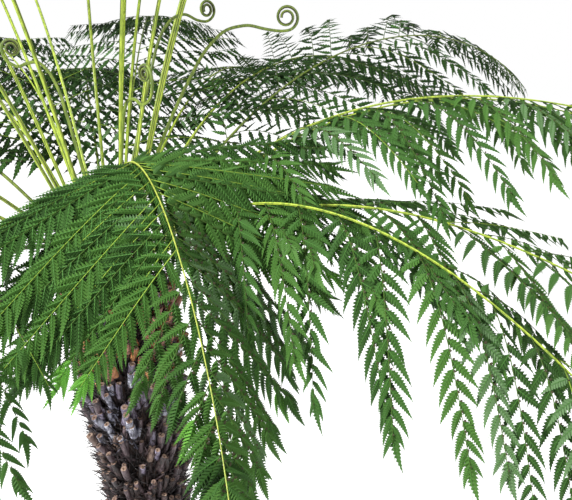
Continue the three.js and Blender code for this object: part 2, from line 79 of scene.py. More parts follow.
# %% Floor and light
FLOOR_SIZE = 60
FLOOR_GLOW = 0.72
SKY_LIGHT = 0.42
WHITE = (1, 1, 1, 1)
LIGHTS = {
    "key": {"place": (-5.4, -4.6, 6.6), "size": 1.6, "watts": 1150},
    "fill": {"place": (4.0, -6.0, 4.5), "size": 5.0, "watts": 270},
}


def screen_color(color):
    """0 to 255 screen values as the linear values that shaders use."""
    linear = [(c / 255 / 12.92 if c < 10.3 else ((c / 255 + 0.055) / 1.055) ** 2.4) for c in color]
    return (*linear, 1)


def inputs_of(material):
    return material.node_tree.nodes["Principled BSDF"].inputs


def plain_material(name, color, roughness):
    """A material of one plain colour, given in screen values."""
    material = bpy.data.materials.new(name)
    material.use_nodes = True
    inputs_of(material)["Base Color"].default_value = screen_color(color)
    inputs_of(material)["Roughness"].default_value = roughness
    return material


def deselect_all():
    for thing in bpy.context.selected_objects:
        thing.select_set(False)


def area_light(name, place, size, watts):
    data = bpy.data.lights.new(name, "AREA")
    data.size = size
    data.energy = watts
    light = linked(name, data)
    light.location = place
    x, y, z = GROWING_POINT - np.array(place)
    light.rotation_euler = (math.atan2(math.hypot(x, y), -z), 0, math.atan2(y, x) - math.pi / 2)


deselect_all()
bpy.ops.mesh.primitive_plane_add(size=FLOOR_SIZE, location=(0, 0, 0))
floor = bpy.context.object
floor.name = "floor"
floor_white = plain_material("floor_white", (248, 248, 248), 0.9)
inputs_of(floor_white)["Emission Color"].default_value = WHITE
inputs_of(floor_white)["Emission Strength"].default_value = FLOOR_GLOW
floor.data.materials.append(floor_white)
floor.visible_diffuse = False
for name, light in LIGHTS.items():
    area_light(name, **light)
world = bpy.data.worlds.new("sky")
world.use_nodes = True
seen = world.node_tree.nodes.new("ShaderNodeLightPath").outputs["Is Camera Ray"]
strength = world.node_tree.nodes.new("ShaderNodeMapRange")
strength.inputs["To Min"].default_value = SKY_LIGHT
strength.inputs["To Max"].default_value = 1.0
world.node_tree.links.new(seen, strength.inputs["Value"])
background = world.node_tree.nodes["Background"]
background.inputs["Color"].default_value = WHITE
world.node_tree.links.new(strength.outputs["Result"], background.inputs["Strength"])
bpy.context.scene.world = world
bpy.context.scene.view_settings.view_transform = "Standard"
print("floor and lights made")

# %% [markdown]
# ## Joining thousands of small things
# Each kind of small thing is made once, as a template. Its copies are placed by array maths, and a
# heap joins them into a few meshes. That is far quicker than one object a leaflet, and each mesh
# stays below the size at which it would be thinned on export.

# %% A heap of small meshes
PIECE_TRIANGLES = 190_000
SHARE_SLACK = 1.02


def triangle_count(batches):
    return sum(len(triangles) + 2 * len(quads) for _, triangles, quads in batches)


class Heap:
    """Copies of small meshes that are joined into pieces of one finish."""

    def __init__(self):
        self.batches = []

    def add(self, places, triangles, quads):
        self.batches.append((places, triangles, quads))

    def copies(self, template, origins, axes):
        """One copy for each origin. axes holds the copy's own X, Y and Z, with their lengths."""
        if len(origins) == 0:
            return
        places, triangles, quads = template
        made = np.einsum("vk,nkc->nvc", places, axes) + origins[:, None, :]
        shift = (np.arange(len(origins)) * len(places))[:, None, None]
        self.add(made.reshape(-1, 3), (triangles + shift).reshape(-1, 3), (quads + shift).reshape(-1, 4))

    def pieces(self, name, material, slot, smooth_degrees=None):
        """The heap as one object or, where it is large, as several of about equal size."""
        total = triangle_count(self.batches)
        share = math.ceil(total / math.ceil(total / PIECE_TRIANGLES))
        groups, filled = [[]], 0
        for batch in self.batches:
            size = triangle_count([batch])
            if groups[-1] and filled + size > share * SHARE_SLACK:
                groups.append([])
                filled = 0
            groups[-1].append(batch)
            filled += size
        made = []
        for number, group in enumerate(groups, 1):
            label = name if len(groups) == 1 else f"{name}_{number}"
            made.append(joined_object(label, group, material, smooth_degrees))
        return made


def points_of(thing):
    return np.array([tuple(vertex.co) for vertex in thing.data.vertices])


def faces_of(thing):
    return [list(face.vertices) for face in thing.data.polygons]


def joined_object(name, batches, material, smooth_degrees):
    places = np.concatenate([batch[0] for batch in batches])
    starts = np.cumsum([0] + [len(batch[0]) for batch in batches])
    triangles = np.concatenate([batch[1] + start for batch, start in zip(batches, starts)])
    quads = np.concatenate([batch[2] + start for batch, start in zip(batches, starts)])
    corners = np.concatenate([triangles.ravel(), quads.ravel()])
    sizes = np.repeat([3, 4], [len(triangles), len(quads)])
    mesh = bpy.data.meshes.new(name)
    mesh.vertices.add(len(places))
    mesh.vertices.foreach_set("co", places.ravel())
    mesh.loops.add(len(corners))
    mesh.loops.foreach_set("vertex_index", corners)
    mesh.polygons.add(len(sizes))
    mesh.polygons.foreach_set("loop_start", np.cumsum(sizes) - sizes)
    mesh.polygons.foreach_set("use_smooth", np.ones(len(sizes), bool))
    mesh.update(calc_edges=True)
    mesh.validate()
    if smooth_degrees is not None:
        mesh.set_sharp_from_angle(angle=math.radians(smooth_degrees))
    mesh.materials.append(material)
    piece = linked(name, mesh)
    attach(piece, "root")
    print(f"{name}: {triangle_count(batches)} triangles")
    return piece


def unit(vectors):
    vectors = np.asarray(vectors, float)
    return vectors / np.maximum(np.linalg.norm(vectors, axis=-1, keepdims=True), 1e-12)


# %% [markdown]
# ## Tubes for ribs and stalks
# A stipe is no round rod: it is flattened, with a groove along its upper face. Blender's curve
# bevel could sweep it, but here one ring of points is placed at each stop, in the path's own frame,
# because that keeps the groove the right way up.

# %% Sweep a section along a path
STIPE_SECTION = np.array([
    (0.50, 0.02), (0.40, 0.34), (0.16, 0.46), (0.00, 0.30), (-0.16, 0.46), (-0.40, 0.34),
    (-0.50, 0.02), (-0.36, -0.36), (0.00, -0.50), (0.36, -0.36),
])
TWIG_SECTION = np.array([(0.5, 0.25), (-0.5, 0.25), (0.0, -0.5)])
SMOOTH_DEGREES = 40


def sweep(places, across, over, widths, depths, section):
    """A closed tube: the section's first number runs across and its second one over."""
    stops, sides = len(places), len(section)
    rings = (
        places[:, None, :]
        + across[:, None, :] * (section[None, :, 0] * np.asarray(widths)[:, None])[..., None]
        + over[:, None, :] * (section[None, :, 1] * np.asarray(depths)[:, None])[..., None]
    )
    points = np.concatenate([rings.reshape(-1, 3), places[:1], places[-1:]])
    corner = np.arange(sides)
    after = (corner + 1) % sides
    row = (np.arange(stops - 1) * sides)[:, None]
    quads = np.stack([row + corner, row + after, row + sides + after, row + sides + corner], -1)
    foot, tip, last = stops * sides, stops * sides + 1, (stops - 1) * sides
    caps = np.concatenate([
        np.stack([after, corner, np.full(sides, foot)], -1),
        np.stack([last + corner, last + after, np.full(sides, tip)], -1),
    ])
    return points, caps, quads.reshape(-1, 4)


print("section points:", len(STIPE_SECTION))

# %% [markdown]
# ## Materials
# Bark, stubs and stipes are streaked and mottled, so their colours come from noise on Object
# coordinates. A small class wraps a socket, so that shader maths reads like ordinary sums. On small
# leaflets a pattern would turn to mud when it is baked, so every spray draws one of a few plain
# greens instead.

# %% Shader sums in plain Python
class Wire:
    """A socket that can be added and multiplied."""

    def __init__(self, sheet, socket):
        self.sheet = sheet
        self.socket = socket

    def __add__(self, other):
        return self.sheet.node("ShaderNodeMath", {0: self, 1: other}, operation="ADD")[0]

    def __mul__(self, other):
        return self.sheet.node("ShaderNodeMath", {0: self, 1: other}, operation="MULTIPLY")[0]

    __radd__ = __add__


class Sheet:
    """One material and its nodes."""

    def __init__(self, name, color, roughness):
        self.material = plain_material(name, color, roughness)
        self.tree = self.material.node_tree

    def node(self, kind, inputs, **settings):
        made = self.tree.nodes.new(kind)
        for key, value in settings.items():
            setattr(made, key, value)
        for key, value in inputs.items():
            if isinstance(value, Wire):
                self.tree.links.new(value.socket, made.inputs[key])
            else:
                made.inputs[key].default_value = value
        return [Wire(self, socket) for socket in made.outputs]

    def noise(self, scale, stretch=(1, 1, 1), detail=3, shift=(0, 0, 0)):
        """Noise on Object coordinates, from 0 to 1, stretched along an axis."""
        place = self.node("ShaderNodeTexCoord", {})[3]
        place = self.node("ShaderNodeMapping", {"Vector": place, "Scale": stretch, "Location": shift})[0]
        return self.node("ShaderNodeTexNoise", {"Vector": place, "Scale": scale, "Detail": detail})[0]

    def ramp(self, value, stops):
        """A colour for each value, the stops given as a place and a screen colour."""
        made = self.tree.nodes.new("ShaderNodeValToRGB")
        self.tree.links.new(value.socket, made.inputs["Fac"])
        while len(made.color_ramp.elements) < len(stops):
            made.color_ramp.elements.new(1)
        for element, (place, color) in zip(made.color_ramp.elements, stops):
            element.position = place
            element.color = screen_color(color)
        return Wire(self, made.outputs["Color"])

    def steps(self, value, low, high):
        """0 below low, 1 above high, and smooth between."""
        inputs = {"Value": value, "From Min": low, "From Max": high}
        return self.node("ShaderNodeMapRange", inputs, interpolation_type="SMOOTHSTEP")[0]

    def mix(self, share, first, second):
        return self.node("ShaderNodeMix", {0: share, 6: first, 7: second}, data_type="RGBA")[2]

    def feed(self, socket, wire):
        self.tree.links.new(wire.socket, inputs_of(self.material)[socket])

    def bump(self, height, strength, distance):
        inputs = {"Height": height, "Strength": strength, "Distance": distance}
        self.feed("Normal", self.node("ShaderNodeBump", inputs)[0])


print("shader helpers ready")

# %% Leaf greens, dealt out by spray
LEAF_TONES = {
    "deep": (31, 53, 22),
    "dark": (51, 82, 37),
    "mid": (61, 97, 43),
    "green": (72, 110, 48),
    "grey": (92, 122, 80),
    "bright": (104, 162, 64),
}
LEAF_ROUGHNESS = 0.62
LEAF_GLOSS = 0.14


def leaf_material(name, color):
    material = plain_material(name, color, LEAF_ROUGHNESS)
    inputs_of(material)["Specular IOR Level"].default_value = LEAF_GLOSS
    return material


leaf_materials = {tone: leaf_material(f"leaf_{tone}", color) for tone, color in LEAF_TONES.items()}
lobe_material = leaf_material("leaf_lobes", (62, 60, 40))
midrib_material = leaf_material("leaflet_midribs", (66, 112, 46))
# Spray stalks have a lit and a dim copy of one green: painted light and painted shade.
twig_materials = {
    "lit": leaf_material("spray_stalk_painted_light", (138, 166, 62)),
    "dim": leaf_material("spray_stalk_painted_shade", (72, 98, 40)),
}
print("leaf tones:", ", ".join(LEAF_TONES))


# %% Stipe green, with streaks along it and brown flecks
def stipe_material(name, light, dark, fleck):
    sheet = Sheet(name, light, 0.42)
    streaks = sheet.noise(38, stretch=(3, 3, 0.35), detail=4)
    flecks = sheet.steps(sheet.noise(95, stretch=(1, 1, 0.4), shift=(3, 1, 2)), 0.62, 0.72)
    green = sheet.ramp(streaks, [(0.32, dark), (0.62, light)])
    sheet.feed("Base Color", sheet.mix(flecks * 0.55, green, screen_color(fleck)))
    sheet.feed("Roughness", 0.36 + streaks * 0.2)
    sheet.bump(streaks, 0.25, 0.002)
    return sheet.material


stipe_green = stipe_material("stipe_green", (186, 206, 76), (122, 150, 48), (104, 90, 46))
stipe_olive = stipe_material("stipe_olive", (128, 148, 54), (80, 102, 38), (70, 60, 36))
stipe_line = stipe_material("stipe_line", (98, 108, 44), (56, 66, 26), (72, 54, 34))
rachis_yellow = stipe_material("rachis_yellow", (190, 200, 88), (150, 168, 64), (124, 116, 56))
print("stipe finishes made")


# %% Bark, fibre and stub finishes
def stub_material(name, light, middle, dark, roughness):
    """Pale and dark streaks that run up a stub, over larger patches."""
    sheet = Sheet(name, middle, roughness)
    streaks = sheet.noise(60, stretch=(1.6, 1.6, 0.4), detail=5)
    patches = sheet.noise(17, shift=(5, 2, 1))
    level = streaks * 0.6 + patches * 0.4
    sheet.feed("Base Color", sheet.ramp(level, [(0.36, dark), (0.48, middle), (0.62, light)]))
    sheet.feed("Roughness", roughness - 0.1 + streaks * 0.25)
    sheet.bump(streaks, 0.4, 0.003)
    return sheet.material


STUB_TONES = {
    "orange": ((230, 168, 112), (176, 110, 70), (72, 40, 30), 0.46),
    "salmon": ((210, 158, 132), (152, 98, 80), (58, 34, 32), 0.5),
    "silver": ((220, 222, 236), (118, 118, 136), (30, 27, 34), 0.26),
    "lilac": ((160, 152, 174), (98, 88, 104), (36, 28, 36), 0.36),
    "mauve": ((120, 102, 106), (70, 56, 60), (22, 16, 20), 0.45),
    "umber": ((84, 68, 66), (46, 36, 36), (16, 12, 14), 0.55),
    "tan": ((158, 134, 120), (106, 86, 78), (40, 30, 30), 0.5),
}
stub_materials = {tone: stub_material(f"stub_{tone}", *look) for tone, look in STUB_TONES.items()}
part_materials = {
    # The stubs' feet, low where they leave the fibre, are darkened as painted shade.
    "bed": stub_material("stub_foot_painted_shade", (64, 50, 50), (34, 26, 28), (14, 10, 12), 0.7),
    "end": stub_material("stub_ends", (182, 156, 136), (136, 110, 96), (70, 52, 46), 0.8),
    "pith": plain_material("stub_pith", (112, 88, 76), 0.9),
}

bark = Sheet("trunk_bark", (40, 29, 26), 0.92)
fibres = bark.noise(46, stretch=(2.4, 2.4, 0.5), detail=6)
damp = bark.noise(6, shift=(1, 4, 2))
bark.feed("Base Color", bark.ramp(fibres * 0.75 + damp * 0.25,
                                  [(0.34, (16, 12, 12)), (0.5, (40, 29, 26)), (0.68, (84, 62, 50))]))
bark.bump(fibres, 0.8, 0.008)
bristle_material = plain_material("bristles", (26, 19, 19), 0.7)
scale_material = plain_material("stipe_scales", (120, 78, 42), 0.7)
root_look = stub_material("root_bark", (96, 74, 58), (54, 40, 33), (24, 18, 16), 0.9)
print("stub finishes:", len(stub_materials) + len(part_materials))

# %% [markdown]
# ## The rule of growth
# A frond grows along a path whose heading turns from a lean to a hang. Its sprays leave the rib in
# pairs, forward of square, and droop. This is the source's rule too, so that every rib, spray and
# leaflet stays where the plain blade is.

# %% Named sizes, as in the source
PATH_STEP = 0.010
STIPE_FOOT = -0.09
COLLAR_TOP = 0.052
RIB_WIDTH = 0.017
RIB_DEPTH = 0.019
PAIR_CROWDING = 1.25
TIP_LENGTH = 0.150
SPRAY_STEPS = 12

ARCHING = {
    "base": (0.080, -0.030), "bend": 2, "stipe": 0.640, "spray": 0.590, "shrink": 0.76, "narrowing": 1.7,
    "lift": 0.1, "roll": 0, "sag": 0, "first": 0.60, "arching": True,
}
UPRIGHT = dict(ARCHING, base=(0.057, -0.012), bend=3, stipe=1.290, spray=0.360, forward=58, droop=0.3,
               pairs=15, first=1.290, arching=False)
NEAR_FROND = {
    "base": (0.092, -0.030), "stipe": 0.600, "spray": 0.800, "shrink": 0.88, "narrowing": 1.0, "lift": -0.06,
    "roll": 8.5, "sag": 1.5, "slender": 0.66, "first": 0.55,
}
LOW_BLADE = {"stipe": 0.480, "first": 0.44}
# What else differs, by a frond's place in the list below
ODD_FRONDS = {
    0: NEAR_FROND, 1: {"spray": 0.670}, 3: {"lift": 0.2, "roll": 25}, 6: LOW_BLADE, 9: LOW_BLADE,
    10: LOW_BLADE, 11: LOW_BLADE, 15: {"spray": 0.480},
}
# Azimuth, lean, hang, reach, sway, length, droop, forward and pairs. The first is the near frond
ARCHING_FRONDS = [
    (298.8, -1, 126, 0.600, -6, 1.840, 0.16, 74, 37), (321.6, 50, 136, 1.170, 1, 2.300, 0.62, 44, 15),
    (345.7, 41, 118, 1.390, 0, 2.350, 0.50, 42, 14), (24.6, 37, 151, 2.030, 5, 2.430, 0.45, 52, 22),
    (333, 56, 122, 1.180, 1, 2.300, 0.28, 50, 15), (359.9, 44, 123, 1.480, 1, 2.350, 0.45, 50, 14),
    (89.5, 30, 118, 1.620, 8, 2.350, 0.35, 60, 22), (45, 29, 126, 1.350, -4, 2.300, 0.40, 60, 18),
    (67, 32, 130, 1.350, 5, 2.300, 0.32, 62, 18), (110, 37, 124, 1.400, -4, 2.300, 0.28, 64, 22),
    (131, 29, 126, 1.500, 6, 2.350, 0.28, 60, 22), (151, 28, 118, 1.300, -5, 2.250, 0.35, 62, 22),
    (173, 38, 124, 1.350, 4, 2.350, 0.40, 58, 15), (194, 49, 136, 1.150, 3, 2.250, 0.50, 62, 15),
    (214, 37, 130, 1.250, -4, 2.300, 0.45, 60, 15), (256, 48, 156, 0.800, 4, 2.150, 0.50, 62, 16),
]
# Azimuth, lean, hang, reach, sway and length
UPRIGHT_FRONDS = [
    (42, 16, 98, 2.150, 6, 2.350), (75, 15, 98, 2.250, -6, 2.350), (92, 29, 108, 2.200, 5, 2.300),
    (108, 18, 100, 2.150, -6, 2.300), (124, 28, 108, 2.100, 6, 2.250), (141, 27, 108, 2.250, -6, 2.350),
    (158, 14, 98, 2.200, 5, 2.300), (176, 18, 102, 2.150, -6, 2.350), (207, 22, 104, 2.150, 6, 2.300),
    (228, 22, 104, 2.250, -7, 2.350), (246, 15, 98, 2.150, 5, 2.250), (312, 9, 88, 2.200, -6, 2.300),
    (330, 13, 94, 2.300, 7, 2.350), (349, 15, 92, 2.200, -6, 2.400),
]
FROND_KEYS = ("azimuth", "lean", "hang", "reach", "sway", "length", "droop", "forward", "pairs")
fronds = [
    dict(common, **dict(zip(FROND_KEYS, values)))
    for common, table in ((ARCHING, ARCHING_FRONDS), (UPRIGHT, UPRIGHT_FRONDS)) for values in table
]
for number, changes in ODD_FRONDS.items():
    fronds[number].update(changes)
print("fronds:", len(fronds))


# %% The path of a stipe
def ring(turn):
    """The level direction at each turn about an upright axis, and the one square to it."""
    outward = np.stack([np.cos(turn), np.sin(turn), np.zeros_like(turn)], -1)
    return outward, np.stack([-np.sin(turn), np.cos(turn), np.zeros_like(turn)], -1)


class StipePath:
    """A path that leans out, turns over and sways, and starts at its azimuth."""

    def __init__(self, heading_at, base, length, sway, azimuth, roll=0):
        self.length = length
        self.sway = math.radians(sway)
        self.roll = math.radians(roll)
        self.azimuth = math.radians(azimuth)
        self.base = base
        self.first_heading = math.radians(float(heading_at(np.array([0.0]))[0]))
        self.stops = np.arange(0, length + PATH_STEP * 1.5, PATH_STEP)
        headings = np.radians(heading_at(self.stops[:-1] + PATH_STEP / 2))
        self.radius = base[0] + np.concatenate([[0], np.cumsum(np.sin(headings) * PATH_STEP)])
        self.height = base[1] + np.concatenate([[0], np.cumsum(np.cos(headings) * PATH_STEP)])

    def turn(self, s):
        return self.sway * np.square(np.clip(s, 0, None) / self.length) + self.azimuth

    def at(self, s):
        s = np.asarray(s, float)
        back = np.minimum(s, 0)
        radius = np.interp(s, self.stops, self.radius) + math.sin(self.first_heading) * back
        height = np.interp(s, self.stops, self.height) + math.cos(self.first_heading) * back
        angle = self.turn(s)
        return GROWING_POINT + np.stack([radius * np.cos(angle), radius * np.sin(angle), height], -1)

    def frame(self, s):
        """Place, along, side and over at each s. Side is to the left, and over is the upper face."""
        s = np.asarray(s, float)
        along = unit(self.at(s + 0.004) - self.at(s - 0.004))
        over = unit(np.cross(along, ring(self.turn(s))[1]))
        side = np.cross(over, along)
        cos, sin = math.cos(self.roll), math.sin(self.roll)
        return self.at(s), along, side * cos + over * sin, over * cos - side * sin


def frond_path(frond):
    def heading_at(s):
        bent = 1 - np.exp(-((np.clip(s, 0, None) / frond["reach"]) ** frond["bend"]))
        return frond["lean"] + (frond["hang"] - frond["lean"]) * bent

    return StipePath(heading_at, *[frond[key] for key in ("base", "length", "sway", "azimuth", "roll")])


for frond in fronds:
    frond["path"] = frond_path(frond)
print("first frond's tip at", np.round(fronds[0]["path"].at([1.84])[0], 2))

# %% [markdown]
# ## Ribs
# The ribs carry everything, so they come first. Each is one grooved tube, from its seat in the
# trunk's head to its tip, and its lowest part is brown and scaly. They stand for the frond nodes.

# %% Stipes and ribs
RIB_STOPS = 64
FOOT_STOPS = 12
# How stout a rib is where the marks in rib_size stand, as a share of its full section
ARCHING_RIB = [0.80, 0.66, 0.38, 0.16]
UPRIGHT_RIB = [0.72, 0.62, 0.50, 0.18]
# A darker line runs along each side: its place, width and depth, as shares of the rib's
LINE_OUT = 0.34
LINE_DOWN = 0.06
LINE_WIDTH = 0.40
LINE_DEPTH = 0.70
ribs = {finish: Heap() for finish in ("green", "olive", "yellow", "scaly", "line")}


def rib_size(frond, s):
    """A bare stipe is stout, and the rib is thin from its first sprays on."""
    marks = [0, frond["stipe"] * 0.8, frond["stipe"] + 0.2, frond["length"]]
    share = np.interp(s, marks, ARCHING_RIB if frond["arching"] else UPRIGHT_RIB)
    share = share * frond.get("slender", 1)
    return RIB_WIDTH * share, RIB_DEPTH * share


for number, frond in enumerate(fronds):
    stops = np.linspace(COLLAR_TOP, frond["length"] - 0.01, RIB_STOPS)
    place, along, side, over = frond["path"].frame(stops)
    width, depth = rib_size(frond, stops)
    tone = "yellow" if number == 0 else ("green" if not frond["arching"] or number % 3 else "olive")
    ribs[tone].add(*sweep(place, side, over, width, depth, STIPE_SECTION))
    for hand in (1, -1):
        beside = place + side * (hand * width * LINE_OUT)[:, None] - over * (depth * LINE_DOWN)[:, None]
        line = sweep(beside, side, over, width * LINE_WIDTH, depth * LINE_DEPTH, TWIG_SECTION * (1, 0.9))
        ribs["line"].add(*line)
    foot = np.linspace(STIPE_FOOT, COLLAR_TOP + 0.05, FOOT_STOPS)
    place, along, side, over = frond["path"].frame(foot)
    width, depth = rib_size(frond, foot)
    swell = 1.16 + 0.22 * np.clip((COLLAR_TOP - foot) / 0.1, 0, 1)
    ribs["scaly"].add(*sweep(place, side, over, width * swell, depth * swell, STIPE_SECTION))

frond_nodes = [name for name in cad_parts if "frond" in name]
green_ribs = ribs["green"].pieces("ribs_green", stipe_green, "stipe", SMOOTH_DEGREES)
ribs["olive"].pieces("ribs_olive", stipe_olive, "stipe", SMOOTH_DEGREES)
ribs["yellow"].pieces("rib_near", rachis_yellow, "stipe", SMOOTH_DEGREES)
ribs["line"].pieces("rib_lines", stipe_line, "stipe", SMOOTH_DEGREES)
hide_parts(*frond_nodes)
print("frond nodes replaced:", len(frond_nodes))

# %% [markdown]
# ## Leaflets
# A leaflet is a toothed lance. A picture on a card could show it, but this one is a mesh, so that
# its teeth hold from near. It is modelled from a flat grid: the rows are drawn in to a lance, every
# second row is pushed out and forward as a tooth, and the sheet is folded along its midrib and bent
# down at its tip. Its mirror image serves the other side of a spray. A pale midrib and a brown lobe
# at the foot are small meshes of their own.

# %% One leaflet
TOOTH_FORWARD = 0.7
NOTCH_FORWARD = 0.1
FOLD = 0.03
BENDS = (0.08, 0.15, 0.04)
WIDTH_MARKS = (0, 0.06, 0.15, 0.3, 0.5, 0.7, 0.85, 0.95, 1)
WIDTH_SHARES = (0.45, 0.9, 1, 0.94, 0.71, 0.44, 0.21, 0.07, 0.01)
SLANT = 0.05
NO_TRIANGLES = np.zeros((0, 3), int)
NO_QUADS = np.zeros((0, 4), int)


def make_leaflet_template(teeth, half_width, sickle, bend, notch, ridge):
    """Points and quads of a leaflet of length 1 along Y, its upper face along Z."""
    bpy.ops.mesh.primitive_grid_add(x_subdivisions=2, y_subdivisions=2 * teeth, size=1)
    grid = bpy.context.object
    flat, quads = points_of(grid), np.array(faces_of(grid))
    bpy.data.objects.remove(grid)
    u, v = flat[:, 0] * 2, flat[:, 1] + 0.5
    edge = np.abs(u)
    tooth = np.round(v * 2 * teeth).astype(int) % 2 == 1
    spread = half_width * np.interp(v, WIDTH_MARKS, WIDTH_SHARES) * np.where(tooth, 1, notch)
    left = np.clip(1.6 - 1.6 * v, 0, 1)
    y = v + edge * (SLANT + np.where(tooth, TOOTH_FORWARD, NOTCH_FORWARD) / (2 * teeth)) * left
    x = u * spread + sickle * v ** 2
    z = -bend * v ** 2 - edge * FOLD * (1 - v) + np.where(tooth, ridge, -ridge) * left
    return np.stack([x, y, z], -1), NO_TRIANGLES, quads


def mirrored(template):
    places, triangles, quads = template
    return places * np.array([-1, 1, 1]), triangles[:, ::-1], quads[:, ::-1]


def leaflet_bank(teeth, half_width, sickles, notch=0.62, ridge=0.012):
    """Three forms and their mirror images. The notches go in to a share of the width."""
    forms = [make_leaflet_template(teeth, half_width, sickle, bend, notch, ridge)
             for sickle, bend in zip(sickles, BENDS)]
    return forms, [mirrored(form) for form in forms]


deselect_all()
LEAFLET_BANKS = {
    "comb": leaflet_bank(13, 0.126, (0.05, 0.02, 0.08), 0.42, 0.022),
    "slim": leaflet_bank(10, 0.125, (0.12, 0.06, 0.16)),
    "near": leaflet_bank(12, 0.150, (0.14, 0.08, 0.19), 0.56, 0.015),
    "loose": leaflet_bank(13, 0.138, (0.10, 0.05, 0.15), 0.50, 0.018),
    "far": leaflet_bank(6, 0.145, (0.11, 0.06, 0.16)),
    "peak": leaflet_bank(6, 0.130, (0.08, 0.04, 0.12)),
    "high": leaflet_bank(4, 0.155, (0.08, 0.04, 0.12)),
}

midrib_stops = np.array([0.0, 0.5, 0.9])
midrib_points = np.array([
    (edge * 0.008 * (1.2 - v) + 0.05 * v ** 2, v, -0.085 * v ** 2 + 0.016)
    for v in midrib_stops for edge in (-1, 1)
])
MIDRIB_FORM = (midrib_points, NO_TRIANGLES, np.array([(0, 1, 3, 2), (2, 3, 5, 4)]))
lobe_turns = np.arange(5) * 2 * np.pi / 5
lobe_rim = [(-0.05 + 0.045 * math.cos(a), 0.03 + 0.036 * math.sin(a), 0.014 - 0.01 * math.cos(a))
            for a in lobe_turns]
lobe_points = np.array(lobe_rim + [(-0.05, 0.03, 0.03)])
LOBE_FORM = (lobe_points, np.array([(i, (i + 1) % 5, 5) for i in range(5)]), NO_QUADS)
print("leaflet faces:", {name: len(bank[0][0][2]) for name, bank in LEAFLET_BANKS.items()})

# %% [markdown]
# ## Sprays
# A spray is a thin stalk with leaflets set alternately along it, which point forward, get smaller
# towards its tip and end in one long leaflet. Each follows the curve that the plain blade follows.
# Fronds in the shade at the back draw darker greens, and the tips of some sprays are bright.

# %% How a spray's leaflets are set
LEAFLET_DROOP = 0.16
# How each bank is set: spacing and length, the angle at the spray's foot and at its tip, and drop
SETTINGS = {
    "comb": (0.030, 0.142, 48, 36, 0.10),
    "near": (0.046, 0.108, 50, 37, 0.18),
    "loose": (0.046, 0.124, 44, 34, 0.50),
    "slim": (0.048, 0.106, 48, 36, 0.18),
    "far": (0.048, 0.106, 50, 38, 0.40),
    "peak": (0.040, 0.092, 56, 44, 0.02),
    "high": (0.042, 0.122, 48, 36, 0.16),
}
FULL_SPRAY = 0.59
# The leaflets' places, as shares of the spray
FIRST_LEAFLET = 0.012
LEAFY_SHARE = 0.97
LEAFLET_CROWDING = 1.18
LAST_LEAFLET = 0.93
YOUNG_FROM = 0.86
# The shortest that a large leaflet gets on a short loose spray
LOOSE_SMALLEST = 0.118
# The leaflets shorten to the tip, vary in length and angle, and splay at the foot
SHORTENING = 0.46
LENGTHS_VARY = (0.86, 1.06)
FOOT_SPLAY = 30
ANGLES_VARY = 4.5
STALK_SIZE = 0.0031
STALK_TAPER = 0.58
# How often a stalk gets the copy with painted light rather than painted shade, on a comb and on any other
# spray
PAINTED_LIT_STALKS = (0.6, 0.12)
UP = np.array([0.0, 0.0, 1.0])
leaf_heaps = {tone: Heap() for tone in LEAF_TONES}
lobe_heap, midrib_heap = Heap(), Heap()
twig_heaps = {"lit": Heap(), "dim": Heap()}
rng = np.random.default_rng(4207)


def leaflet_axes(axis, normal, length, drop):
    """The leaflet's own X, Y and Z, with some roll and pitch, and let down by its drop."""
    count = len(axis)
    across = unit(np.cross(axis, normal))
    normal = unit(normal + across * rng.normal(0, 0.16, (count, 1)))
    axis = unit(axis + normal * rng.normal(-LEAFLET_DROOP, 0.09, (count, 1)) - UP * drop)
    across = unit(np.cross(axis, normal))
    normal = np.cross(across, axis)
    return np.stack([across, axis, normal], 1) * length[:, None, None]


def add_leaflets(bank, tone, places, axes, toward):
    """Sickle-shaped leaflets bend towards the tip of their spray, whichever side they are on."""
    turned = np.einsum("nc,nc->n", axes[:, 0], toward) < 0
    forms = rng.integers(0, len(LEAFLET_BANKS[bank][0]), len(places))
    for mirror in (False, True):
        for form, template in enumerate(LEAFLET_BANKS[bank][mirror]):
            chosen = (forms == form) & (turned == mirror)
            leaf_heaps[tone].copies(template, places[chosen], axes[chosen])


